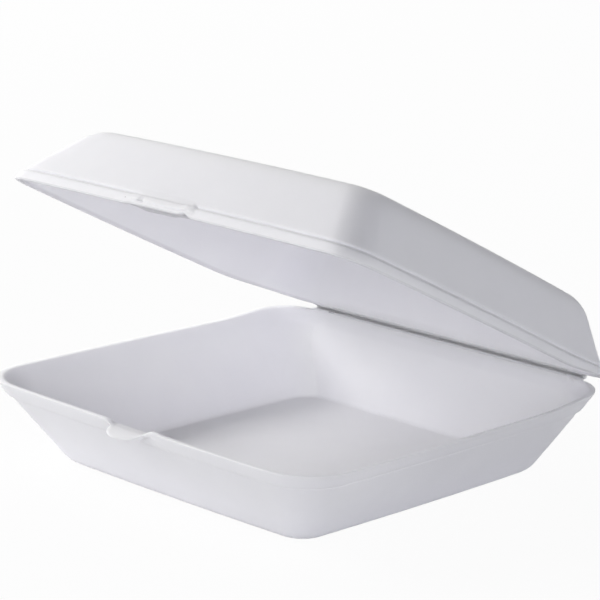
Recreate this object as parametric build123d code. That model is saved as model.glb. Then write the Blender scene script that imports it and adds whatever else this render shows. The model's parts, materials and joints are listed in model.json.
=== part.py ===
from build123d import *
import math
import os

# Foam clamshell container, pressed from one sheet of polystyrene foam.
# Millimetres, +Z up, origin under the middle of the tray rim on the standing face.
# The tongue is on the front, at -Y, and the fold line runs along X at +Y.

# Tray, all insets measured inwards from the rim
TRAY_WIDTH = 226.0
TRAY_DEPTH = 223.0
TRAY_HEIGHT = 42.5
TRAY_INSET = 30.3
TRAY_REAR_INSET = 11.5
TRAY_BAND_HEIGHT = 7.0
TRAY_BAND_INSET = 3.8
TRAY_BOW_DEG = 1.6
TRAY_RIM_CORNER = 26.0
TRAY_BASE_CORNER = 12.0
TRAY_REAR_RIM_CORNER = 21.0
TRAY_REAR_CORNER = 28.0
TRAY_EDGE_ROUND = 8.0

# Lid, measured in its closed position
LID_WIDTH = 237.0
LID_DEPTH = 227.2
LID_HEIGHT = 36.7
LID_INSET = 23.0
LID_REAR_INSET = 13.0
LID_BAND_HEIGHT = 5.4
LID_BAND_INSET = 1.4
LID_BOW_DEG = 4.0
LID_RIM_CORNER = 18.0
LID_TOP_CORNER = 15.0
LID_REAR_RIM_CORNER = 22.0
LID_REAR_TOP_CORNER = 13.0
LID_EDGE_ROUND = 8.0
LID_OPEN_DEG = 25.35

# Foam sheet
SHEET = 2.5
RIM_LIP = 3.0
LEDGE = 1.8
LEDGE_DROP = 0.8
ROUND_STEPS = 5
ROUND_SHARE = 0.75

# Pressed hinge strip between the two rims, which sweep up to it at the rear
STRIP_DEPTH = 5.0
STRIP_LENGTH = 182.0
STRIP_SHEET = 1.2
FOLD_GAP = 0.3
HINGE_RISE = 3.0
RISE_START = 68.0

# Closure tongue on the tray rim
TONGUE_WIDTH = 21.0
TONGUE_LENGTH = 9.0
TONGUE_SHEET = 2.0
TONGUE_DROOP_DEG = 15.0
TONGUE_DIP = 2.0
TONGUE_OFFSET = -1.0

# Closure slot in the lid's front band
SLOT_WIDTH = 42.0
SLOT_HEIGHT = 2.8
SLOT_ROUND = 1.7
SLOT_OFFSET = -4.0
STRAP_SHEET = 2.2
STRAP_HEIGHT = 4.2
STRAP_SET_BACK = 4.6
PAD_HEIGHT = 7.0

# Places that follow from the sizes
fold_y = TRAY_DEPTH / 2
fold_z = TRAY_HEIGHT + HINGE_RISE + FOLD_GAP / 2
rim_rear = fold_y - STRIP_DEPTH
tray_front = fold_y - TRAY_DEPTH
lid_front = fold_y - LID_DEPTH


def outline(half_width, front, rear, corner, rear_corner, bow_deg, z):
    """Rounded outline with a straight rear and three gently bowed sides, as a face at height z."""
    s = math.sin(math.radians(bow_deg))
    c = math.cos(math.radians(bow_deg))
    k = 1 - c
    both = corner + rear_corner
    side_arc = (rear - front - both) * s + s * s * both - k * (half_width - corner) - k * k * corner
    side_arc = side_arc / (2 * s * s - k * k)
    fore_arc = corner + (half_width - corner - (side_arc - corner) * k) / s
    side_mid = rear - rear_corner - (side_arc - rear_corner) * s
    front_end = Vector(fore_arc * s, front + fore_arc * k)
    side_start = Vector(half_width - side_arc * k, side_mid - side_arc * s)
    side_end = Vector(half_width - side_arc * k, side_mid + side_arc * s)
    rear_end = Vector(half_width - side_arc + (side_arc - rear_corner) * c, rear)
    front_centre = Vector((fore_arc - corner) * s, front + fore_arc - (fore_arc - corner) * c)
    rear_centre = Vector(rear_end.X, rear - rear_corner)
    front_mid = front_centre + Vector(1, -1).normalized() * corner
    rear_mid = rear_centre + Vector(1, 1).normalized() * rear_corner

    def flip(point):
        return Vector(-point.X, point.Y)

    edges = [
        ThreePointArc(flip(front_end), Vector(0, front), front_end),
        ThreePointArc(front_end, front_mid, side_start),
        ThreePointArc(side_start, Vector(half_width, side_mid), side_end),
        ThreePointArc(side_end, rear_mid, rear_end),
        Line(rear_end, flip(rear_end)),
        ThreePointArc(flip(rear_end), flip(rear_mid), flip(side_end)),
        ThreePointArc(flip(side_end), Vector(-half_width, side_mid), flip(side_start)),
        ThreePointArc(flip(side_start), flip(front_mid), flip(front_end)),
    ]
    return Pos(0, 0, z) * make_face(edges)


def wall_inset(sink, top_inset, top_sink, end_inset, end_sink, radius):
    """Inset at one depth of a leaning wall that is rounded into the closed end."""
    lean = math.atan2(end_inset - top_inset, end_sink - top_sink)
    reach = radius * math.tan((math.pi / 2 - lean) / 2)
    if sink <= end_sink - reach * math.cos(lean):
        return top_inset + (sink - top_sink) * math.tan(lean)
    return end_inset + reach - math.sqrt(max(radius**2 - (sink - end_sink + radius) ** 2, 0))


def round_sinks(end_sink, radius):
    """Depths of the levels that carry the round into the closed end."""
    turns = [math.pi / 2 * step / ROUND_STEPS for step in range(ROUND_STEPS + 1)]
    return [end_sink - ROUND_SHARE * radius * (1 - math.sin(turn)) for turn in turns]


def shell(half_width, front, height, inset, rear_inset, band_height, band_inset, bow, rim_corner, end_corner,
          rear_rim_corner, rear_end_corner, rear_corner_depth, edge_round, rise):
    """Pressed half, its rim plane at height 0, its closed end at -height and its walls carried up by rise."""

    def level(sink, side_inset, back_inset):
        corner = rim_corner + (end_corner - rim_corner) * side_inset / inset
        depth_share = min(max(sink, 0) / rear_corner_depth, 1)
        rear_corner = rear_rim_corner + (rear_end_corner - rear_rim_corner) * depth_share
        half = half_width - side_inset
        return outline(half, front + side_inset, rim_rear - back_inset, corner, rear_corner, bow, -sink)

    def wall_levels(top_sink, top_inset, top_back, end_sink, end_inset, end_back):
        return [
            level(
                sink,
                wall_inset(sink, top_inset, top_sink, end_inset, end_sink, edge_round),
                wall_inset(sink, top_back, top_sink, end_back, end_sink, edge_round),
            )
            for sink in round_sinks(end_sink, edge_round)
        ]

    flare = band_inset / band_height
    ledge_inset = band_inset + LEDGE
    ledge_sink = band_height + LEDGE_DROP
    outer = [
        level(-rise, -rise * flare, -rise * flare / 2),
        level(band_height, band_inset, band_inset / 2),
        level(ledge_sink, ledge_inset, ledge_inset / 2),
    ]
    outer += wall_levels(ledge_sink, ledge_inset, ledge_inset / 2, height, inset, rear_inset)
    floor = height - SHEET
    inner = [level(-rise, RIM_LIP - rise * inset / floor, RIM_LIP - rise * rear_inset / floor)]
    inner += wall_levels(0, RIM_LIP, RIM_LIP, floor, inset + RIM_LIP, rear_inset + RIM_LIP)
    return loft(outer, ruled=True) - loft(inner, ruled=True)


def beyond_parting(far):
    """Space from the parting surface, which sweeps up to the hinge at the rear, to the height far."""
    reach = TRAY_DEPTH
    middle = (RISE_START + rim_rear) / 2
    edges = [
        Line((-reach, 0), (RISE_START, 0)),
        Bezier((RISE_START, 0), (middle, 0), (middle, HINGE_RISE), (rim_rear, HINGE_RISE)),
        Line((rim_rear, HINGE_RISE), (reach, HINGE_RISE)),
        Line((reach, HINGE_RISE), (reach, far)),
        Line((reach, far), (-reach, far)),
        Line((-reach, far), (-reach, 0)),
    ]
    return extrude(Plane.YZ * make_face(edges), LID_WIDTH, both=True)


def hinge_strip():
    """Half of the pressed hinge strip, its top at height 0, reaching from the rim to the fold line."""
    inner_y = rim_rear - RIM_LIP / 2
    outer_y = fold_y - FOLD_GAP / 2
    middle = Pos(0, (inner_y + outer_y) / 2, -STRIP_SHEET / 2)
    return middle * Box(STRIP_LENGTH, outer_y - inner_y, STRIP_SHEET)


def tongue():
    """Half-round tongue that droops a little from its root on the front rim, the rim plane at height 0."""
    tab = Ellipse(TONGUE_WIDTH / 2, TONGUE_LENGTH) & Pos(0, -TONGUE_LENGTH) * Rectangle(
        TONGUE_WIDTH, 2 * TONGUE_LENGTH
    )
    root = Pos(0, RIM_LIP / 2) * Rectangle(TONGUE_WIDTH, RIM_LIP)
    solid = extrude(tab + root, -TONGUE_SHEET)
    place = Pos(TONGUE_OFFSET, tray_front, -TONGUE_DIP)
    return place * Rot(TONGUE_DROOP_DEG, 0, 0) * solid


def tray():
    """Tray with its tongue, the dip in the rim behind it and its half of the hinge strip."""
    body = shell(
        TRAY_WIDTH / 2, tray_front, TRAY_HEIGHT, TRAY_INSET, TRAY_REAR_INSET, TRAY_BAND_HEIGHT,
        TRAY_BAND_INSET, TRAY_BOW_DEG, TRAY_RIM_CORNER, TRAY_BASE_CORNER, TRAY_REAR_RIM_CORNER,
        TRAY_REAR_CORNER, TRAY_BAND_HEIGHT, TRAY_EDGE_ROUND, HINGE_RISE,
    )
    body = body - beyond_parting(TRAY_HEIGHT)
    dip = Pos(TONGUE_OFFSET, tray_front, 0) * Box(TONGUE_WIDTH, 4 * RIM_LIP, 2 * TONGUE_DIP)
    strip = Pos(0, 0, HINGE_RISE) * hinge_strip()
    return Pos(0, 0, TRAY_HEIGHT) * (body - dip + tongue() + strip)


def slot_cut():
    """Space of the closure slot, open below, with round upper corners."""
    sketch = Rectangle(SLOT_WIDTH, 2 * SLOT_HEIGHT)
    sketch = fillet(sketch.vertices(), SLOT_ROUND)
    prism = extrude(Plane.XZ * sketch, SLOT_WIDTH / 2, both=True)
    return Pos(SLOT_OFFSET, lid_front, 0) * prism


def strap():
    """Strap under the slot, set back into the lid in a shallow bow."""
    half = SLOT_WIDTH / 2 + RIM_LIP
    outer_arc = ThreePointArc((-half, 0), (0, STRAP_SET_BACK), (half, 0))
    inner_arc = ThreePointArc((half, STRAP_SHEET), (0, STRAP_SET_BACK + STRAP_SHEET), (-half, STRAP_SHEET))
    ends = [Line((half, 0), (half, STRAP_SHEET)), Line((-half, STRAP_SHEET), (-half, 0))]
    band = make_face([outer_arc, ends[0], inner_arc, ends[1]])
    place = Pos(SLOT_OFFSET, lid_front + RIM_LIP / 2, 0)
    return place * extrude(band, STRAP_HEIGHT)


def catch_pad():
    """Smooth pad that carries the wall down over the ledge above the slot."""
    ledge_z = LID_BAND_HEIGHT + LEDGE_DROP
    ledge_y = LID_BAND_INSET + LEDGE
    rise = (LID_INSET - ledge_y) / (LID_HEIGHT - ledge_z)
    top_y = ledge_y + rise * PAD_HEIGHT
    profile = Polyline(
        (LID_BAND_INSET, LID_BAND_HEIGHT - LEDGE_DROP),
        (LID_BAND_INSET + SHEET, LID_BAND_HEIGHT - LEDGE_DROP),
        (top_y + SHEET / 2, ledge_z + PAD_HEIGHT),
        (top_y, ledge_z + PAD_HEIGHT),
        close=True,
    )
    prism = extrude(Plane.YZ * make_face(profile), SLOT_WIDTH / 2, both=True)
    return Pos(SLOT_OFFSET, lid_front, 0) * prism


def closed_lid():
    """Lid in its closed position about the fold line, its rim at height 0 and its top up."""
    body = shell(
        LID_WIDTH / 2, lid_front, LID_HEIGHT, LID_INSET, LID_REAR_INSET, LID_BAND_HEIGHT,
        LID_BAND_INSET, LID_BOW_DEG, LID_RIM_CORNER, LID_TOP_CORNER, LID_REAR_RIM_CORNER,
        LID_REAR_TOP_CORNER, LID_HEIGHT, LID_EDGE_ROUND, 0,
    )
    body = mirror(body, about=Plane.XY) - beyond_parting(-LID_HEIGHT)
    body = body + catch_pad() - slot_cut()
    strip = Pos(0, 0, HINGE_RISE) * mirror(hinge_strip(), about=Plane.XY)
    return body + strap() + strip


def open_lid():
    """Lid turned up about the fold line to the angle at which it rests."""
    about_fold = Pos(0, -fold_y, FOLD_GAP / 2 - HINGE_RISE) * closed_lid()
    return Pos(0, fold_y, fold_z) * Rot(-LID_OPEN_DEG, 0, 0) * about_fold


os.makedirs("parts", exist_ok=True)
export_step(tray(), "parts/tray.step")
export_step(open_lid(), "parts/lid.step")
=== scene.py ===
"""Foam clamshell container: a tray and its lid, pressed from one sheet of white foam."""
import json
import logging
import math
from collections.abc import Callable
from dataclasses import dataclass
from enum import Enum

import bpy
from mathutils import Matrix, Vector, noise


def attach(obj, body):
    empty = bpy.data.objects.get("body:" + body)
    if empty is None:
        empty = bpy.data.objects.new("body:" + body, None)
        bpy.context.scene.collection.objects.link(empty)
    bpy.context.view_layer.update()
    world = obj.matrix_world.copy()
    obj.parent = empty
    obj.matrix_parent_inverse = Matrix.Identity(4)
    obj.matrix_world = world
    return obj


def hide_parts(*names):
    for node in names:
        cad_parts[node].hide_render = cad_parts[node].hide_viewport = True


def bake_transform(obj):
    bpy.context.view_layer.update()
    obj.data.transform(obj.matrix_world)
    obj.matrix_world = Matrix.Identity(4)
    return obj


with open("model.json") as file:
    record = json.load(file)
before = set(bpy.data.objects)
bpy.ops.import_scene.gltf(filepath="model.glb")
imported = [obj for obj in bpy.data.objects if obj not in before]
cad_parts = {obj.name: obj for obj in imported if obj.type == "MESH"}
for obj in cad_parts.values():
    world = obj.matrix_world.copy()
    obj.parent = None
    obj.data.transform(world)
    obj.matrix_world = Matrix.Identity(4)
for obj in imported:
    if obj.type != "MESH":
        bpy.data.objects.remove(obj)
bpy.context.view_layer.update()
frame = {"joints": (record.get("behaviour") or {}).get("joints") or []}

LOG = logging.getLogger("clamshell")
MM = 0.001
FRAME_PIXELS = 600
CUT_AND_SHADE_MARK = "cut_edge_and_painted_shade"
WELD = 0.01 * MM
SMOOTH_DEG = 50
WARM = (1.0, 0.995, 0.985)
COOL = (0.94, 0.95, 1.0)


class Zone(Enum):
    """Stretch of the pressed section that a row of points belongs to."""

    INNER = "inner wall and floor"
    LIP = "rim lip"
    ROOT = "root under the lip"
    OUTER = "band, ledge, wall and underside"


def smooth_step(value: float, low: float, high: float) -> float:
    """Ease from 0 at low to 1 at high.

    Args:
        value: The place to judge.
        low: Where the ease starts.
        high: Where the ease ends.

    Returns:
        A share from 0 to 1.
    """
    share = min(max((value - low) / (high - low), 0.0), 1.0)
    return share * share * (3 - 2 * share)


def window(value: float, middle: float, half: float, ease: float) -> float:
    """Ease up to 1 within half of the middle, and down to 0 beyond it.

    Args:
        value: The place to judge.
        middle: Centre of the window.
        half: Half of the window's width.
        ease: Width of the slope at each end.

    Returns:
        A share from 0 to 1.
    """
    return 1 - smooth_step(abs(value - middle), half - ease, half)


def bell(value: float, middle: float, width: float) -> float:
    """Bell curve of height 1.

    Args:
        value: The place to judge.
        middle: Where the curve peaks.
        width: Its standard deviation.

    Returns:
        The curve's height.
    """
    return math.exp(-0.5 * ((value - middle) / width) ** 2)


def deselect_everything() -> None:
    """Leave object mode with nothing selected."""
    if bpy.context.object and bpy.context.object.mode != "OBJECT":
        bpy.ops.object.mode_set(mode="OBJECT")
    bpy.ops.object.select_all(action="DESELECT")


def sheet_grid(
    name: str,
    columns: int,
    rows: int,
    place: Callable[[int, int], Vector],
    cut: Callable[[int, int], float],
) -> bpy.types.Object:
    """Lay a flat grid, press each of its points into place and mark the cut edge and the painted shade.

    Args:
        name: Name of the new piece.
        columns: Points across the sheet.
        rows: Points along the sheet.
        place: Gives the place of a point from its column and row.
        cut: Gives the share of the darker grey at a point, from 0 to 1, from its column and row; the grey
            marks cut foam and paints shade.

    Returns:
        The new mesh object, at the origin.
    """
    deselect_everything()
    bpy.ops.mesh.primitive_grid_add(x_subdivisions=columns - 1, y_subdivisions=rows - 1, size=2.0)
    piece = bpy.context.object
    piece.name = name
    piece.data.name = name
    marks = piece.data.attributes.new(CUT_AND_SHADE_MARK, "FLOAT", "POINT")
    for vertex in piece.data.vertices:
        column = round((vertex.co.x + 1) / 2 * (columns - 1))
        row = round((vertex.co.y + 1) / 2 * (rows - 1))
        vertex.co = place(column, row)
        marks.data[vertex.index].value = cut(column, row)
    return piece


def close_up(piece: bpy.types.Object) -> None:
    """Weld the seam of a piece, fill its open ends and turn its faces outwards.

    Args:
        piece: The mesh to close.
    """
    deselect_everything()
    bpy.context.view_layer.objects.active = piece
    piece.select_set(True)
    bpy.ops.object.mode_set(mode="EDIT")
    bpy.ops.mesh.select_all(action="SELECT")
    bpy.ops.mesh.remove_doubles(threshold=WELD)
    bpy.ops.mesh.select_all(action="DESELECT")
    bpy.ops.mesh.select_mode(type="EDGE")
    bpy.ops.mesh.select_non_manifold(
        extend=False, use_wire=False, use_multi_face=False, use_non_contiguous=False
    )
    bpy.ops.mesh.fill_holes(sides=0)
    bpy.ops.mesh.select_all(action="SELECT")
    bpy.ops.mesh.normals_make_consistent(inside=False)
    bpy.ops.object.mode_set(mode="OBJECT")
    bpy.ops.object.shade_smooth()


def thicken(piece: bpy.types.Object, sheet: float, offset: float) -> None:
    """Give the active flat piece the thickness of its sheet.

    Args:
        piece: The mesh to thicken.
        sheet: Its thickness.
        offset: Where the thickness goes: -1 to the back, 0 to both sides.
    """
    thick = piece.modifiers.new("sheet", "SOLIDIFY")
    thick.thickness = sheet
    thick.offset = offset
    bpy.ops.object.modifier_apply(modifier=thick.name)


def dress(piece: bpy.types.Object, finish: bpy.types.Material) -> None:
    """Give a piece its finish and report it.

    Args:
        piece: The finished mesh.
        finish: Its material.
    """
    piece.data.materials.append(finish)
    LOG.info("%s: %d faces", piece.name, len(piece.data.polygons))


@dataclass(frozen=True)
class FoamFinish:
    """White foam with a smooth pressed skin and fine closed cells, and a darker grey for cut foam that
    also paints shade.
    """

    name: str = "foam_skin"
    light: tuple[float, float, float, float] = (0.897, 0.892, 0.923, 1.0)
    dark: tuple[float, float, float, float] = (0.872, 0.867, 0.899, 1.0)
    # Darker grey for cut foam, also used as painted shade on the catch strap, in the pit and in part along
    # the lid's rim.
    cut: tuple[float, float, float, float] = (0.450, 0.448, 0.466, 1.0)
    mottle_scale: float = 26.0
    mottle_detail: float = 3.0
    tint_low: float = 0.3
    tint_high: float = 0.7
    cell_scale: float = 900.0
    grain_scale: float = 2600.0
    grain_share: float = 0.4
    cell_depth: float = 0.06 * MM
    cell_strength: float = 0.35
    roughness_low: float = 0.46
    roughness_high: float = 0.60
    specular: float = 0.1
    glow: float = 1.0
    glow_reach: float = 5.0 * MM

    def material(self) -> bpy.types.Material:
        """Build the node material.

        Returns:
            The finished material.
        """
        material = bpy.data.materials.new(self.name)
        material.use_nodes = True
        nodes = material.node_tree.nodes
        link = material.node_tree.links.new
        shader = nodes["Principled BSDF"]
        shader.inputs["Specular IOR Level"].default_value = self.specular
        shader.inputs["Subsurface Weight"].default_value = self.glow
        shader.inputs["Subsurface Radius"].default_value = (1.0, 1.0, 1.0)
        shader.inputs["Subsurface Scale"].default_value = self.glow_reach
        where = nodes.new("ShaderNodeTexCoord")

        mottle = nodes.new("ShaderNodeTexNoise")
        mottle.inputs["Scale"].default_value = self.mottle_scale
        mottle.inputs["Detail"].default_value = self.mottle_detail
        link(where.outputs["Object"], mottle.inputs["Vector"])
        tint = nodes.new("ShaderNodeValToRGB")
        tint.color_ramp.elements[0].position = self.tint_low
        tint.color_ramp.elements[0].color = self.dark
        tint.color_ramp.elements[1].position = self.tint_high
        tint.color_ramp.elements[1].color = self.light
        link(mottle.outputs["Fac"], tint.inputs["Fac"])
        # The mark mixes in the darker grey: cut edges, and painted shade on the strap, in the pit and
        # along the lid's rim.
        mark = nodes.new("ShaderNodeAttribute")
        mark.attribute_name = CUT_AND_SHADE_MARK
        edge = nodes.new("ShaderNodeMix")
        edge.data_type = "RGBA"
        edge.inputs["B"].default_value = self.cut
        link(mark.outputs["Fac"], edge.inputs["Factor"])
        link(tint.outputs["Color"], edge.inputs["A"])
        link(edge.outputs["Result"], shader.inputs["Base Color"])

        gloss = nodes.new("ShaderNodeMapRange")
        gloss.inputs["To Min"].default_value = self.roughness_low
        gloss.inputs["To Max"].default_value = self.roughness_high
        link(mottle.outputs["Fac"], gloss.inputs["Value"])
        link(gloss.outputs["Result"], shader.inputs["Roughness"])

        cells = nodes.new("ShaderNodeTexVoronoi")
        cells.inputs["Scale"].default_value = self.cell_scale
        link(where.outputs["Object"], cells.inputs["Vector"])
        grain = nodes.new("ShaderNodeTexNoise")
        grain.inputs["Scale"].default_value = self.grain_scale
        link(where.outputs["Object"], grain.inputs["Vector"])
        relief = nodes.new("ShaderNodeMath")
        relief.operation = "MULTIPLY_ADD"
        relief.inputs[1].default_value = self.grain_share
        link(grain.outputs["Fac"], relief.inputs[0])
        link(cells.outputs["Distance"], relief.inputs[2])
        bump = nodes.new("ShaderNodeBump")
        bump.inputs["Strength"].default_value = self.cell_strength
        bump.inputs["Distance"].default_value = self.cell_depth
        link(relief.outputs["Value"], bump.inputs["Height"])
        link(bump.outputs["Normal"], shader.inputs["Normal"])
        return material


@dataclass(frozen=True)
class Outline:
    """One level of a pressed half: a straight rear and three gently bowed sides, with round corners."""

    half_width: float
    front: float
    rear: float
    front_corner: float
    rear_corner: float
    crease_deg: float
    bow_deg: float
    strip_half: float

    FINE_HALF = 34 * MM
    FINE_STEPS = 62
    FRONT_STEPS = 5
    CORNER_STEPS = 20
    SIDE_STEPS = 22
    REAR_CORNER_STEPS = 24
    REAR_STEPS = 16
    STRIP_END_STEP = 0.2 * MM
    STRIP_END_LOW = 0.4
    STRIP_END_HIGH = 0.6
    KNEE_STEPS = 6
    KNEE_STEP = 0.8 * MM
    KNEE_CLEAR = 2.4 * MM

    def half_path(self) -> list[Vector]:
        """Walk the right half, from the front's middle to the rear's middle.

        Returns:
            The points of the walk, the same number at every level.
        """
        bow = math.radians(self.bow_deg)
        sine, cosine = math.sin(bow), math.cos(bow)
        slack = 1 - cosine
        fore, aft = self.front_corner, self.rear_corner
        crease = math.radians(self.crease_deg)
        rear = self.rear + aft * (1 - math.cos(crease))
        length = rear - self.front - fore - aft
        spread = length * sine + sine * sine * (fore + aft)
        spread += -slack * (self.half_width - fore) - slack * slack * fore
        side_arc = spread / (2 * sine * sine - slack * slack)
        fore_arc = (self.half_width - fore - (side_arc - fore) * slack) / sine + fore
        side_mid = rear - aft - (side_arc - aft) * sine
        past_fine = fore_arc * sine - self.FINE_HALF

        xs = [self.FINE_HALF * i / self.FINE_STEPS for i in range(self.FINE_STEPS)]
        xs += [self.FINE_HALF + past_fine * i / self.FRONT_STEPS for i in range(self.FRONT_STEPS)]
        path = [Vector((x, self.front + fore_arc - math.sqrt(fore_arc**2 - x * x), 0)) for x in xs]

        centre = Vector(((fore_arc - fore) * sine, self.front + fore_arc - (fore_arc - fore) * cosine, 0))
        path += self.turn(centre, fore, bow - math.pi / 2, -bow, self.CORNER_STEPS)
        centre = Vector((self.half_width - side_arc, side_mid, 0))
        path += self.turn(centre, side_arc, -bow, bow, self.SIDE_STEPS)
        centre = Vector((self.half_width - side_arc + (side_arc - aft) * cosine, rear - aft, 0))
        return path + self.rear_path(centre, bow, crease)

    def rear_path(self, centre: Vector, bow: float, crease: float) -> list[Vector]:
        """Walk the rear corner and half the rear, with close points at the strip's end and the crease.

        Args:
            centre: Centre of the corner's arc.
            bow: Angle at which the arc starts.
            crease: Angle left between the arc's end and the rear.

        Returns:
            The points, the last one in the rear's middle.
        """
        radius = self.rear_corner
        arc = radius * (math.pi / 2 - crease - bow)
        corner = centre.x + radius * math.sin(crease)
        total = arc + corner
        end = total - self.strip_half
        if self.strip_half > corner:
            end = radius * (math.acos(min((self.strip_half - centre.x) / radius, 1)) - bow)
        end = min(max(end, arc * self.STRIP_END_LOW), total * self.STRIP_END_HIGH)

        def at(length: float) -> Vector:
            """Point at one length along the walk."""
            if length > arc:
                return Vector((corner - (length - arc), self.rear, 0))
            angle = bow + length / radius
            return centre + Vector((math.cos(angle), math.sin(angle), 0)) * radius

        first, last = end - self.STRIP_END_STEP, end + self.STRIP_END_STEP
        lengths = [first * i / self.REAR_CORNER_STEPS for i in range(self.REAR_CORNER_STEPS + 1)]
        knee = max(arc, last + self.KNEE_CLEAR)
        before, after = knee - self.KNEE_STEP, knee + self.KNEE_STEP
        lengths += [last + (before - last) * i / self.KNEE_STEPS for i in range(self.KNEE_STEPS + 1)]
        lengths += [knee]
        lengths += [after + (total - after) * i / self.REAR_STEPS for i in range(self.REAR_STEPS + 1)]
        return [at(length) for length in lengths]

    @staticmethod
    def turn(centre: Vector, radius: float, start: float, end: float, steps: int) -> list[Vector]:
        """Walk an arc, without its last point.

        Args:
            centre: Centre of the arc.
            radius: Its radius.
            start: Angle at which it starts.
            end: Angle at which it ends.
            steps: Points to give.

        Returns:
            The points.
        """
        angles = [start + (end - start) * i / steps for i in range(steps)]
        return [centre + Vector((math.cos(a), math.sin(a), 0)) * radius for a in angles]

    def loop(self) -> list[Vector]:
        """Walk the whole outline, from the rear's middle round the left and back, its ends meeting."""
        half = self.half_path()
        return [Vector((-p.x, p.y, 0)) for p in reversed(half)] + half[1:]


@dataclass
class Row:
    """One row of the pressed section: how far in from the rim, how deep, and in which stretch."""

    inset: float
    rear_inset: float
    sink: float
    zone: Zone
    share: float = 0.0


@dataclass(frozen=True)
class RearCorner:
    """Radius of a rear corner at the rim, at one depth and at the heel, and the crease at its end."""

    rim: float
    turn: float
    heel: float
    turn_depth: float
    crease_deg: float = 0.0

    CREASE_START = 3.0 * MM
    CREASE_FULL = 9.0 * MM

    def radius(self, sink: float, height: float) -> float:
        """Radius at one depth.

        Args:
            sink: Depth below the rim.
            height: Height of the half.

        Returns:
            The radius.
        """
        if sink < self.turn_depth:
            return self.rim + (self.turn - self.rim) * sink / self.turn_depth
        share = min((sink - self.turn_depth) / max(height - self.turn_depth, MM), 1)
        return self.turn + (self.heel - self.turn) * share

    def crease(self, sink: float) -> float:
        """Angle of the crease at one depth, in degrees."""
        return self.crease_deg * smooth_step(sink, self.CREASE_START, self.CREASE_FULL)


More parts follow.
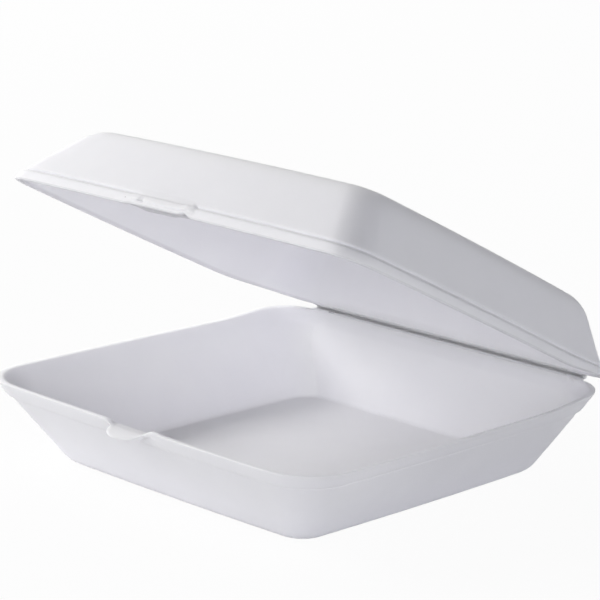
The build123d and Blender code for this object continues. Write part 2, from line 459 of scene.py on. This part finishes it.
@dataclass
class PressedHalf:
    """Tray or lid, described from its rim inwards, with depth counted from the rim plane."""

    name: str
    body: str
    width: float
    depth: float
    height: float
    inset: float
    rear_inset: float
    band_height: float
    band_inset: float
    bow_deg: float
    rim_corner: float
    end_corner: float
    rear_outer: RearCorner
    rear_inner: RearCorner
    fold_y: float
    fold_z: float
    edge_round: float = 7.0 * MM
    floor_round: float = 3.0 * MM
    sheet: float = 2.5 * MM
    lip: float = 3.0 * MM
    lip_round: float = 1.2 * MM
    lip_drop: float = 2.0 * MM
    root_drop: float = 2.5 * MM
    ledge: float = 1.8 * MM
    ledge_drop: float = 0.8 * MM
    groove: float = 0.5 * MM
    groove_width: float = 0.5 * MM
    strip_depth: float = 5.0 * MM
    strip_half: float = 91.0 * MM
    strip_sheet: float = 1.2 * MM
    fold_gap: float = 0.3 * MM
    flare_reach: float = 6.8 * MM
    flare_depth: float = 8.0 * MM
    flare_ease: float = 14.0 * MM
    rise: float = 3.0 * MM
    rise_start: float = 52.0 * MM
    rise_depth: float = 11.0 * MM
    rise_way: int = 1
    flat: float = 16.0 * MM
    # Darker rim lip: the sheet's cut edge, in part painted shade along the rim line.
    rim_cut_and_shade_share: float = 0.0
    rim_mark_depth: float = 1.0 * MM
    wave: float = 0.25 * MM
    wave_scale: float = 14.0

    TURN_STEPS = 8
    SMALL_STEPS = 4
    BAND_ROUND = 0.6 * MM
    LEDGE_ROUND = 0.8 * MM
    FINE_WALL = 6.0 * MM
    FLAT_ROWS = 3
    INNER_ROWS = 7
    FLARE_ROWS = 6
    BAND_ROWS = 8
    WALL_ROWS = 12
    HEEL_ROWS = 8
    FRONT_CLOSE = 0.5
    REAR_CLOSE = 0.4
    STRIP_MARGIN = 1.5 * MM
    ROOT_GAP = 0.3 * MM
    WAVE_STRETCH = 2

    def section(self) -> list[Row]:
        """Lay out the section from the middle of the floor inside, over the rim, to the middle underneath.

        Returns:
            The rows in order.
        """
        floor = self.height - self.sheet
        lip, ledge_sink = self.lip, self.band_height + self.ledge_drop
        ledge_inset = self.band_inset + self.ledge
        start = Vector((self.inset + lip + self.flat, self.rear_inset + lip + self.flat, floor))
        foot = Vector((self.inset + lip, self.rear_inset + lip, floor))
        lip_in = Vector((lip, lip, 0))
        lip_out = Vector((0, 0, 0))
        band = Vector((self.band_inset, self.band_inset / 2, self.band_height))
        ledge = Vector((ledge_inset, ledge_inset / 2, ledge_sink))
        heel = Vector((self.inset, self.rear_inset, self.height))
        end = Vector((self.inset + self.flat, self.rear_inset + self.flat, self.height))

        rows = self.run(start, foot, 0, self.floor_round, self.FLAT_ROWS, Zone.INNER)
        rows += self.bend(start, foot, lip_in, self.floor_round, self.TURN_STEPS, Zone.INNER)
        rows += self.run(foot, lip_in, self.floor_round, self.flare_depth, self.INNER_ROWS, Zone.INNER)[1:]
        rest = (lip_in - foot).length - self.flare_depth
        rows += self.run(foot, lip_in, rest, self.lip_round, self.FLARE_ROWS, Zone.INNER)[1:-1]
        rows += self.bend(foot, lip_in, lip_out, self.lip_round, self.SMALL_STEPS, Zone.LIP)
        rows += self.bend(lip_in, lip_out, band, self.lip_round, self.SMALL_STEPS, Zone.LIP)
        along = (band - lip_out) / self.band_height
        rows += [self.row(along * self.lip_drop, Zone.LIP), self.row(along * self.root_drop, Zone.ROOT)]
        rows += self.run(lip_out, band, self.root_drop, self.BAND_ROUND, self.BAND_ROWS, Zone.OUTER)[1:]
        rows += self.bend(lip_out, band, ledge, self.BAND_ROUND, self.SMALL_STEPS, Zone.OUTER)
        rows += self.bend(band, ledge, heel, self.LEDGE_ROUND, self.SMALL_STEPS, Zone.OUTER)
        rest = (heel - ledge).length - self.FINE_WALL
        rows += self.run(ledge, heel, self.LEDGE_ROUND, rest, self.WALL_ROWS, Zone.OUTER)[1:]
        rows += self.run(ledge, heel, self.FINE_WALL, self.edge_round, self.HEEL_ROWS, Zone.OUTER)[1:]
        rows += self.bend(ledge, heel, end, self.edge_round, self.TURN_STEPS, Zone.OUTER)
        rows += self.run(heel, end, self.edge_round, 0, self.FLAT_ROWS, Zone.OUTER)[1:]
        for row in rows:
            row.share = 1 - min(max(row.inset / lip, 0), 1) if row.zone is Zone.LIP else 0
            if row.zone is Zone.OUTER:
                depth = self.groove * math.exp(-(((row.sink - ledge_sink) / self.groove_width) ** 2))
                row.inset += depth
                row.rear_inset += depth
        return rows

    @staticmethod
    def row(point: Vector, zone: Zone) -> Row:
        """Make a row at one point of the section."""
        return Row(point.x, point.y, point.z, zone)

    def run(self, a: Vector, b: Vector, skip: float, stop: float, steps: int, zone: Zone) -> list[Row]:
        """Rows along a straight stretch of the section.

        Args:
            a: Where the stretch starts.
            b: Where it ends.
            skip: Length left out at its start.
            stop: Length left out at its end.
            steps: Number of rows.
            zone: The stretch that the rows belong to.

        Returns:
            The rows, both ends counted.
        """
        way = (b - a).normalized()
        first, last = a + way * skip, b - way * stop
        return [self.row(first.lerp(last, i / (steps - 1)), zone) for i in range(steps)]

    def bend(self, a: Vector, at: Vector, b: Vector, cut: float, steps: int, zone: Zone) -> list[Row]:
        """Rows round a softened corner of the section.

        Args:
            a: Corner before.
            at: The corner itself.
            b: Corner after.
            cut: Length that the round takes off each stretch.
            steps: Number of spans.
            zone: The stretch that the rows belong to.

        Returns:
            The rows, both ends counted.
        """
        first = at + (a - at).normalized() * cut
        last = at + (b - at).normalized() * cut
        shares = [i / steps for i in range(steps + 1)]
        return [self.row(first.lerp(at, t).lerp(at.lerp(last, t), t), zone) for t in shares]

    def outline(self, row: Row) -> Outline:
        """Outline of the half at one row.

        Args:
            row: The row, whose corners close up past the heel.

        Returns:
            The outline.
        """
        depth_share = min(row.sink / self.height, 1)
        past = max(row.inset - self.inset, 0)
        front = self.rim_corner + (self.end_corner - self.rim_corner) * depth_share
        front -= past * self.FRONT_CLOSE
        corner = self.rear_inner if row.zone is Zone.INNER else self.rear_outer
        rear = corner.radius(row.sink, self.height) - past * self.REAR_CLOSE
        rim_rear = self.fold_y - self.strip_depth
        return Outline(
            half_width=self.width / 2 - row.inset,
            front=self.fold_y - self.depth + row.inset,
            rear=rim_rear - row.rear_inset,
            front_corner=front,
            rear_corner=rear,
            crease_deg=corner.crease(row.sink),
            bow_deg=self.bow_deg,
            strip_half=self.strip_half,
        )

    def shaped(self, point: Vector, row: Row) -> Vector:
        """Add the features that break the plain outline, in the half's own frame.

        Args:
            point: Place on the plain outline, with the depth from the rim as its third value.
            row: The row that it is on.

        Returns:
            The shaped place.
        """
        place = point.copy()
        if place.y > self.rise_start:
            self.add_strip(place, row)
        spot = Vector((place.x, place.y, place.z * self.WAVE_STRETCH + self.height))
        drift = noise.noise(spot * self.wave_scale)
        out = Vector((place.x / self.width, place.y / self.depth, 0))
        if out.length > 0:
            depth_share = min(row.sink / self.height, 1)
            place += out.normalized() * drift * self.wave * math.sin(math.pi * depth_share)
        sweep = smooth_step(point.y, self.rise_start, self.fold_y - self.strip_depth)
        place.z += self.rise_way * self.rise * sweep * max(1 - row.sink / self.rise_depth, 0)
        return place

    def add_strip(self, place: Vector, row: Row) -> None:
        """Curve the rear wall out and draw its lip to the fold line, thinned to the pressed strip.

        Args:
            place: The point to move.
            row: The row that it is on.
        """
        rim_rear = self.fold_y - self.strip_depth
        side = 1 - smooth_step(abs(place.x), self.strip_half - self.flare_ease, self.strip_half)
        flare = self.flare_reach * side
        if row.zone is not Zone.LIP:
            place.y += flare * max(1 - row.sink / self.flare_depth, 0) ** 2
        if abs(place.x) > self.strip_half or place.y < rim_rear - self.lip - self.STRIP_MARGIN:
            return
        if row.zone is Zone.LIP:
            start = rim_rear - self.lip + flare
            place.y = start + (self.fold_y - self.fold_gap / 2 - start) * row.share
            place.z = min(place.z, self.strip_sheet)
        elif row.zone is Zone.ROOT:
            place.z = self.strip_sheet + self.ROOT_GAP

    def world(self, place: Vector) -> Vector:
        """Place of a point of this half in the row frame."""
        raise NotImplementedError

    def cut_and_shade_mark(self, point: Vector, row: Row) -> float:
        """How far a point of a row takes the darker grey: the sheet's cut edge on the rim lip, in part
        painted shade along the rim line.
        """
        return self.rim_cut_and_shade_share if row.zone is Zone.LIP and row.sink < self.rim_mark_depth else 0.0

    def build(self, finish: bpy.types.Material) -> bpy.types.Object:
        """Press the half out of a sheet and dress it.

        Args:
            finish: Its material.

        Returns:
            The finished piece.
        """
        rows = self.section()
        loops = [self.outline(row).loop() for row in rows]

        def place(column: int, index: int) -> Vector:
            """Place of one point of the sheet."""
            point = loops[index][column].copy()
            point.z = rows[index].sink
            return self.world(self.shaped(point, rows[index]))

        def cut(column: int, index: int) -> float:
            """Share of the darker grey at one point: cut foam, and painted shade on the lid's rim and in
            its pit.
            """
            return self.cut_and_shade_mark(loops[index][column], rows[index])

        piece = sheet_grid(f"{self.name}_foam", len(loops[0]), len(rows), place, cut)
        close_up(piece)
        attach(piece, self.body)
        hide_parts(self.name)
        dress(piece, finish)
        return piece


@dataclass
class Tray(PressedHalf):
    """Tray with its tongue and the dip in the rim behind it."""

    rise_way: int = -1
    tongue_x: float = -1.0 * MM
    tongue_half: float = 10.5 * MM
    tongue_length: float = 9.0 * MM
    tongue_droop: float = 0.27
    dip: float = 2.0 * MM
    dip_left_ease: float = 4.0 * MM
    dip_right_ease: float = 6.0 * MM
    dip_right_lead: float = 1.0 * MM
    bump: float = 0.7 * MM
    bump_width: float = 3.0 * MM

    def world(self, place: Vector) -> Vector:
        """Place of a point of the tray in the row frame."""
        return Vector((place.x, place.y, self.height - place.z))

    def shaped(self, point: Vector, row: Row) -> Vector:
        """Add the tongue to the plain outline.

        Args:
            point: Place on the plain outline.
            row: The row that it is on.

        Returns:
            The shaped place.
        """
        place = super().shaped(point, row)
        if place.y > 0 or row.zone not in (Zone.LIP, Zone.ROOT):
            return place
        across = place.x - self.tongue_x
        left = smooth_step(across, -self.tongue_half - self.dip_left_ease, -self.tongue_half)
        dip_end = self.tongue_half + self.dip_right_ease
        right = 1 - smooth_step(across, self.tongue_half - self.dip_right_lead, dip_end)
        rise = self.bump * bell(across, dip_end, self.bump_width)
        place.z += self.dip * left * right - rise
        if row.zone is Zone.LIP and abs(across) < self.tongue_half:
            reach = self.tongue_length * math.sqrt(1 - (across / self.tongue_half) ** 2) * row.share
            place.y -= reach
            place.z += reach * self.tongue_droop
        return place


@dataclass(frozen=True)
class Dent:
    """Small hollow or crease in the lid's front, placed across the lid and up from its rim."""

    across: float
    up: float
    half_across: float
    half_up: float
    depth: float
    slant: float = 0.0

    def at(self, across: float, up: float) -> float:
        """Depth of the hollow at one place.

        Args:
            across: Place across the lid.
            up: Place up from its rim.

        Returns:
            The depth.
        """
        aside = (across - self.across) / self.half_across
        above = (up - self.up - self.slant * (across - self.across)) / self.half_up
        return self.depth * math.exp(-(aside * aside + above * above))


@dataclass(frozen=True)
class Pit:
    """Small ripped pit beside the slot, which widens and deepens downwards to a short lower edge, and is
    painted darker as painted shade in its hollow.
    """

    across: float = -14.4 * MM
    low: float = 1.8 * MM
    high: float = 6.2 * MM
    half_top: float = 1.5 * MM
    half_bottom: float = 3.0 * MM
    edge: float = 1.0 * MM
    core: float = 0.45
    depth: float = 0.6 * MM
    # Strength of the painted shade in the pit.
    pit_shade: float = 0.55

    def at(self, across: float, up: float) -> float:
        """Depth of the pit at one place.

        Args:
            across: Place across the lid.
            up: Place up from its rim.

        Returns:
            The depth.
        """
        ramp = min(max((self.high - up) / (self.high - self.low), 0.0), 1.0)
        half = self.half_top + (self.half_bottom - self.half_top) * ramp
        side = 1 - smooth_step(abs(across - self.across), half * self.core, half)
        return self.depth * ramp * side * smooth_step(up, self.low - self.edge, self.low)

    def pit_shade_share(self, across: float, up: float) -> float:
        """How far painted shade darkens the pit at one place."""
        return self.pit_shade * self.at(across, up) / self.depth


@dataclass
class Lid(PressedHalf):
    """Lid with the closure slot in its front band, and the folds and dents pressed in around it."""

    edge_round: float = 11.0 * MM
    floor_round: float = 8.0 * MM
    ledge: float = 1.0 * MM
    ledge_drop: float = 0.5 * MM
    groove: float = 1.2 * MM
    groove_width: float = 0.8 * MM
    # The lid's rim lip is darkened: its cut edge, in part painted shade along the rim line.
    rim_cut_and_shade_share: float = 0.3
    open_deg: float = 25.35
    slot_left: float = -25.0 * MM
    slot_right: float = 17.0 * MM
    slot_ease: float = 5.0 * MM
    slot_lift: float = 0.5 * MM
    lift_reach: float = 8.0 * MM
    gape: float = 1.5 * MM
    gape_x: float = 15.5 * MM
    gape_width: float = 2.0 * MM
    pad_top: float = 9.2 * MM
    pad_ease: float = 11.0 * MM
    pad_curve: float = 1.2
    pad_right: float = 14.6 * MM
    pad_slant: float = 1.3
    pad_edge: float = 0.7 * MM
    pit: Pit = Pit()
    dents: tuple[Dent, ...] = (
        Dent(-0.7 * MM, 8.4 * MM, half_across=3.2 * MM, half_up=0.7 * MM, depth=0.3 * MM, slant=0.2),
        Dent(13.5 * MM, 8.6 * MM, half_across=3.6 * MM, half_up=0.8 * MM, depth=0.35 * MM),
    )

    def world(self, place: Vector) -> Vector:
        """Place of a point of the lid in the row frame, opened about the fold line.

        Args:
            place: The point in the lid's own frame.

        Returns:
            Its place.
        """
        turn = Matrix.Rotation(-math.radians(self.open_deg), 4, "X")
        about = Vector((place.x, place.y - self.fold_y, place.z + self.fold_gap / 2 - self.rise))
        return turn @ about + Vector((0, self.fold_y, self.fold_z))

    def cut_and_shade_mark(self, point: Vector, row: Row) -> float:
        """How far a point of a row takes the darker grey: the sheet's cut edge, in part painted shade
        along the rim, and painted shade in the pit.

        Args:
            point: Place on the plain outline.
            row: The row that it is on.

        Returns:
            A share from 0 to 1.
        """
        mark = super().cut_and_shade_mark(point, row)
        if point.y > 0 or row.zone in (Zone.INNER, Zone.LIP):
            return mark
        # The pit is painted darker: painted shade in its hollow.
        return max(mark, self.pit.pit_shade_share(point.x, row.sink))

    def lift(self, across: float) -> float:
        """How far the band's lower edge is raised over the slot, most where its right end gapes.

        Args:
            across: Place across the lid.

        Returns:
            The height.
        """
        left = smooth_step(across, self.slot_left, self.slot_left + self.slot_ease)
        right = 1 - smooth_step(across, self.slot_right - self.slot_ease, self.slot_right)
        return self.slot_lift * left * right + self.gape * bell(across, self.gape_x, self.gape_width)

    def pad_share(self, across: float, up: float) -> float:
        """Share of the pad over the ledge, which fades in on the left and stops at a fold on the right.

        Args:
            across: Place across the lid.
            up: Place up from its rim.

        Returns:
            A share from 0 to 1.
        """
        below_top = min(max(self.pad_top - up, 0), self.pad_top - self.band_height)
        fold = self.pad_right + self.pad_slant * below_top
        left = smooth_step(across, self.slot_left, self.slot_left + self.pad_ease)
        return left * (1 - smooth_step(across, fold - self.pad_edge, fold + self.pad_edge))

    def pad_push(self, across: float, row: Row) -> float:
        """How far the pad moves a point of the band or the wall.

        Args:
            across: Place across the lid.
            row: The row that the point is on.

        Returns:
            The move towards the inside.
        """
        if row.sink >= self.pad_top:
            return 0.0
        ledge_sink = self.band_height + self.ledge_drop
        ledge_inset = self.band_inset + self.ledge
        wall = (self.inset - ledge_inset) / (self.height - ledge_sink)
        top = ledge_inset + wall * (self.pad_top - ledge_sink)
        up_share = max(row.sink - self.root_drop, 0) / (self.pad_top - self.root_drop)
        return (top * up_share**self.pad_curve - row.inset) * self.pad_share(across, row.sink)

    def shaped(self, point: Vector, row: Row) -> Vector:
        """Add the slot's raised edge, the pad over the ledge, the dents and the pit to the plain outline.

        Args:
            point: Place on the plain outline.
            row: The row that it is on.

        Returns:
            The shaped place.
        """
        place = super().shaped(point, row)
        if place.y > 0 or row.zone is Zone.INNER:
            return place
        if row.zone is Zone.OUTER:
            place.y += self.pad_push(place.x, row)
            place.y += sum(dent.at(place.x, row.sink) for dent in self.dents)
        outer = row.share if row.zone is Zone.LIP else 1.0
        place.y += self.pit.at(place.x, row.sink) * outer
        place.z += self.lift(place.x) * max(1 - row.sink / self.lift_reach, 0)
        return place


@dataclass
class CatchStrap:
    """Strap of foam under the lid's slot, pushed into the lid so that its face leans inwards and down,
    with painted shade on it.
    """

    lid: Lid
    left: float = -25.0 * MM
    right: float = 19.0 * MM
    sheet: float = 2.0 * MM
    top: float = 3.2 * MM
    low: float = 0.3 * MM
    back: float = 0.9 * MM
    set_back: float = 6.6 * MM
    left_ease: float = 0.18
    right_ease: float = 0.2
    right_drop: float = 0.35
    push_left: float = 1.12
    push_fall: float = 0.4
    hang: float = 0.7 * MM
    hang_x: float = -5.5 * MM
    hang_half: float = 15.0 * MM
    hang_ease: float = 6.0 * MM
    # Painted shade on the strap: at least this share of the darker grey, up to all of it at the upper
    # edge.
    strap_shade_low: float = 0.5
    soft_edge: float = 0.4 * MM
    soft_segments: int = 3
    columns: int = 57
    rows: int = 7

    def push(self, share: float) -> float:
        """How far the strap is pushed in, from its left end at 0 to its right end at 1."""
        right = 1 - self.right_drop * smooth_step(share, 1 - self.right_ease, 1.0)
        return smooth_step(share, 0.0, self.left_ease) * right * (self.push_left - self.push_fall * share)

    def build(self, finish: bpy.types.Material) -> bpy.types.Object:
        """Bow a strip of sheet across the slot and give it its thickness.

        Args:
            finish: Its material.

        Returns:
            The finished piece.
        """
        front = self.lid.fold_y - self.lid.depth

        def place(column: int, row: int) -> Vector:
            """Place of one point of the strap."""
            share = column / (self.columns - 1)
            across = self.left + (self.right - self.left) * share
            drop = 1 - row / (self.rows - 1)
            low = self.low - self.hang * window(across, self.hang_x, self.hang_half, self.hang_ease)
            back = self.back + self.set_back * self.push(share) * drop
            return self.lid.world(Vector((across, front + back, self.top + (low - self.top) * drop)))

        def cut(column: int, row: int) -> float:
            """Share of painted shade at one point, most along the upper edge, which sits close behind the
            band's lip.
            """
            return self.strap_shade_low + (1 - self.strap_shade_low) * row / (self.rows - 1)

        piece = sheet_grid("catch_strap", self.columns, self.rows, place, cut)
        thicken(piece, self.sheet, -1)
        soft = piece.modifiers.new("soft_edges", "BEVEL")
        soft.width = self.soft_edge
        soft.segments = self.soft_segments
        bpy.ops.object.modifier_apply(modifier=soft.name)
        bpy.ops.object.shade_smooth()
        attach(piece, self.lid.body)
        dress(piece, finish)
        return piece


@dataclass
class FoldStrip:
    """Crease that joins the two halves of the hinge strip, laid round the fold line at the lid's opening.
    """

    lid: Lid
    half: float = 90.6 * MM
    tail: float = 2.5 * MM
    sheet: float = 0.9 * MM
    blend_share: float = 0.8
    columns: int = 25
    arc_rows: int = 13

    def build(self, finish: bpy.types.Material) -> bpy.types.Object:
        """Lay the strip round the fold line and give it its thickness.

        Args:
            finish: Its material.

        Returns:
            The finished piece.
        """
        lid = self.lid
        radius = (lid.fold_gap + lid.strip_sheet) / 2
        top = math.radians(90 - lid.open_deg)
        sweep = top + math.pi / 2
        angles = [sweep * i / (self.arc_rows - 1) - math.pi / 2 for i in range(self.arc_rows)]
        path = [Vector((0, math.cos(a) * radius, math.sin(a) * radius)) for a in angles]
        path.insert(0, path[0] + Vector((0, -self.tail, 0)))
        back = Vector((0, -math.sin(top), math.cos(top)))
        path.append(path[-1] + back * self.tail)
        fold = Vector((0, lid.fold_y, lid.fold_z))

        def place(column: int, row: int) -> Vector:
            """Place of one point of the strip."""
            across = (2 * column / (self.columns - 1) - 1) * self.half
            return fold + path[row] + Vector((across, 0, 0))

        piece = sheet_grid("fold_strip", self.columns, len(path), place, lambda column, row: 0.0)
        thicken(piece, self.sheet, 0)
        bpy.ops.object.shade_smooth_by_angle(angle=math.radians(SMOOTH_DEG))
        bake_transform(piece)
        dress(piece, finish)
        return piece


@dataclass
class CreaseWeb:
    """Thin web of foam that bridges the two halves of the strip inside the crease."""

    lid: Lid
    half: float = 90.6 * MM
    reach: float = 1.8 * MM
    root: float = 0.3 * MM
    hollow: float = 0.3 * MM
    sheet: float = 0.5 * MM
    columns: int = 25
    rows: int = 7

    def build(self, finish: bpy.types.Material) -> bpy.types.Object:
        """Span the crease between the tray's strip and the lid's.

        Args:
            finish: Its material.

        Returns:
            The finished piece.
        """
        lid = self.lid
        fold = Vector((0, lid.fold_y, lid.fold_z))
        turn = math.radians(lid.open_deg)
        root = self.root + lid.fold_gap / 2
        low = fold + Vector((0, -self.reach, -root))
        high = fold + Matrix.Rotation(-turn, 3, "X") @ Vector((0, -self.reach, root))

        def place(column: int, row: int) -> Vector:
            """Place of one point of the web."""
            across = (2 * column / (self.columns - 1) - 1) * self.half
            share = row / (self.rows - 1)
            inward = Vector((across, self.hollow * math.sin(math.pi * share), 0))
            return low.lerp(high, share) + inward

        piece = sheet_grid("crease_web", self.columns, self.rows, place, lambda column, row: 0.0)
        thicken(piece, self.sheet, 0)
        bpy.ops.object.shade_smooth_by_angle(angle=math.radians(SMOOTH_DEG))
        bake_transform(piece)
        dress(piece, finish)
        return piece


@dataclass(frozen=True)
class PhotoView:
    """Camera of the photograph, placed about the middle of the tray rim."""

    azimuth_deg: float = 43.18
    elevation_deg: float = 15.84
    distance: float = 1186.4 * MM
    look_azimuth_deg: float = 43.23
    look_elevation_deg: float = 13.89
    roll_deg: float = 2.01
    focal_pixels: float = 2431.4
    target: tuple[float, float, float] = (0.0, 1.45 * MM, 42.5 * MM)

    @staticmethod
    def towards(azimuth_deg: float, elevation_deg: float) -> Vector:
        """Direction from the object to a viewer at an azimuth and elevation."""
        a, e = math.radians(azimuth_deg), math.radians(elevation_deg)
        return Vector((math.sin(a) * math.cos(e), -math.cos(a) * math.cos(e), math.sin(e)))

    def build(self) -> bpy.types.Object:
        """Set up the camera.

        Returns:
            The camera object, made the scene's own.
        """
        back = self.towards(self.look_azimuth_deg, self.look_elevation_deg)
        right = Vector((0, 0, 1)).cross(back).normalized()
        up = back.cross(right)
        roll = math.radians(self.roll_deg)
        side = right * math.cos(roll) + up * math.sin(roll)
        rise = up * math.cos(roll) - right * math.sin(roll)
        data = bpy.data.cameras.new("photo_view")
        data.lens = data.sensor_width * self.focal_pixels / FRAME_PIXELS
        camera = bpy.data.objects.new("photo_view", data)
        place = Vector(self.target) + self.towards(self.azimuth_deg, self.elevation_deg) * self.distance
        camera.matrix_world = Matrix.Translation(place) @ Matrix((side, rise, back)).transposed().to_4x4()
        bpy.context.collection.objects.link(camera)
        bpy.context.scene.camera = camera
        return camera


@dataclass(frozen=True)
class SoftBox:
    """Round area lamp on a ring about the container, aimed at it."""

    name: str
    azimuth_deg: float
    elevation_deg: float
    watts: float
    colour: tuple[float, float, float] = (1.0, 1.0, 1.0)
    size: float = 1.8
    distance: float = 4.0
    aim: tuple[float, float, float] = (0.0, 0.0, 50 * MM)

    def build(self) -> bpy.types.Object:
        """Hang the lamp.

        Returns:
            The lamp object.
        """
        data = bpy.data.lights.new(self.name, "AREA")
        data.shape = "DISK"
        data.size = self.size
        data.energy = self.watts
        data.color = self.colour
        lamp = bpy.data.objects.new(self.name, data)
        way = PhotoView.towards(self.azimuth_deg, self.elevation_deg)
        lamp.location = Vector(self.aim) + way * self.distance
        lamp.rotation_euler = (-way).to_track_quat("-Z", "Y").to_euler()
        lamp.visible_camera = False
        bpy.context.collection.objects.link(lamp)
        return lamp


@dataclass(frozen=True)
class Studio:
    """White studio: a pale floor, a dim sky, soft lamps from the left to the front, and cool fills."""

    sky: tuple[float, float, float, float] = (0.95, 0.97, 1.0, 1.0)
    sky_strength: float = 0.05
    floor_radius: float = 6.0
    floor_corners: int = 64
    floor_roughness: float = 0.9
    floor_colour: tuple[float, float, float, float] = (0.88, 0.88, 0.89, 1.0)
    floor_white: float = 0.95
    lamps: tuple[SoftBox, ...] = (
        SoftBox("left_rear", -120, 28, 35.0, WARM),
        SoftBox("left", -90, 28, 38.0, WARM),
        SoftBox("left_front", -60, 28, 80.0, WARM),
        SoftBox("front", 0, 28, 24.0),
        SoftBox("front_low", -30, 8, 16.0),
        SoftBox("right_front", 30, 8, 12.0, COOL),
        SoftBox("right_fill", 60, 8, 45.0, COOL),
        SoftBox("rear_fill", 150, 8, 40.0, COOL),
    )

    def build(self) -> None:
        """Light the scene and lay the floor."""
        self.light_sky()
        self.lay_floor()
        for lamp in self.lamps:
            lamp.build()
        bpy.context.scene.view_settings.view_transform = "Standard"

    @staticmethod
    def plain_sight(tree: bpy.types.NodeTree) -> bpy.types.NodeSocket:
        """Tell what is seen plainly, by the eye or in a gloss, from what only lights.

        Args:
            tree: The node tree to add to.

        Returns:
            A socket that is 1 for camera, glossy and transmission rays.
        """
        path = tree.nodes.new("ShaderNodeLightPath")
        socket = path.outputs["Is Camera Ray"]
        for other in ("Is Glossy Ray", "Is Transmission Ray"):
            either = tree.nodes.new("ShaderNodeMath")
            either.operation = "MAXIMUM"
            tree.links.new(socket, either.inputs[0])
            tree.links.new(path.outputs[other], either.inputs[1])
            socket = either.outputs["Value"]
        return socket

    def light_sky(self) -> None:
        """Give the world a soft light and a white look."""
        world = bpy.data.worlds.new("studio_sky")
        world.use_nodes = True
        bpy.context.scene.world = world
        tree = world.node_tree
        light = tree.nodes["Background"]
        light.inputs["Color"].default_value = self.sky
        light.inputs["Strength"].default_value = self.sky_strength
        white = tree.nodes.new("ShaderNodeBackground")
        white.inputs["Color"].default_value = (1, 1, 1, 1)
        white.inputs["Strength"].default_value = 1.0
        mix = tree.nodes.new("ShaderNodeMixShader")
        tree.links.new(self.plain_sight(tree), mix.inputs["Fac"])
        tree.links.new(light.outputs["Background"], mix.inputs[1])
        tree.links.new(white.outputs["Background"], mix.inputs[2])
        tree.links.new(mix.outputs["Shader"], tree.nodes["World Output"].inputs["Surface"])

    def lay_floor(self) -> None:
        """Lay the pale floor, which keeps a faint shadow."""
        deselect_everything()
        bpy.ops.mesh.primitive_circle_add(
            vertices=self.floor_corners, radius=self.floor_radius, fill_type="NGON"
        )
        floor = bpy.context.object
        floor.name = "studio_floor"
        material = bpy.data.materials.new("studio_floor")
        material.use_nodes = True
        tree = material.node_tree
        shader = tree.nodes["Principled BSDF"]
        shader.inputs["Base Color"].default_value = self.floor_colour
        shader.inputs["Roughness"].default_value = self.floor_roughness
        shader.inputs["Specular IOR Level"].default_value = 0.0
        white = tree.nodes.new("ShaderNodeEmission")
        share = tree.nodes.new("ShaderNodeMath")
        share.operation = "MULTIPLY"
        share.inputs[1].default_value = self.floor_white
        tree.links.new(self.plain_sight(tree), share.inputs[0])
        mix = tree.nodes.new("ShaderNodeMixShader")
        tree.links.new(share.outputs["Value"], mix.inputs["Fac"])
        tree.links.new(shader.outputs["BSDF"], mix.inputs[1])
        tree.links.new(white.outputs["Emission"], mix.inputs[2])
        tree.links.new(mix.outputs["Shader"], tree.nodes["Material Output"].inputs["Surface"])
        floor.data.materials.append(material)


def main() -> None:
    """Build the container's pieces, the studio and the camera."""
    logging.basicConfig(level=logging.INFO, format="%(name)s: %(message)s")
    hinge = frame["joints"][0]
    fold_y, fold_z = hinge["pos_m"][1], hinge["pos_m"][2]
    foam = FoamFinish().material()
    tray = Tray(
        name="tray", body="tray", width=226 * MM, depth=223 * MM, height=42.5 * MM, inset=30.3 * MM,
        rear_inset=11.5 * MM, band_height=7 * MM, band_inset=3.8 * MM, bow_deg=1.6, rim_corner=26 * MM,
        end_corner=12 * MM, fold_y=fold_y, fold_z=fold_z,
        rear_outer=RearCorner(rim=21 * MM, turn=26 * MM, heel=20 * MM, turn_depth=7 * MM),
        rear_inner=RearCorner(rim=21 * MM, turn=31 * MM, heel=16 * MM, turn_depth=9 * MM, crease_deg=31),
    )
    lid_height = 36.7 * MM
    lid_corner = RearCorner(rim=22 * MM, turn=13 * MM, heel=13 * MM, turn_depth=lid_height)
    lid = Lid(
        name="lid", body="lid", width=237 * MM, depth=227.2 * MM, height=lid_height, inset=23 * MM,
        rear_inset=13 * MM, band_height=5.4 * MM, band_inset=1.4 * MM, bow_deg=4.0, rim_corner=18 * MM,
        end_corner=15 * MM, rear_outer=lid_corner, rear_inner=lid_corner, fold_y=fold_y, fold_z=fold_z,
    )
    tray.build(foam)
    lid.build(foam)
    CatchStrap(lid).build(foam)
    FoldStrip(lid).build(foam)
    CreaseWeb(lid).build(foam)
    Studio().build()
    PhotoView().build()


if __name__ == "__main__":
    main()
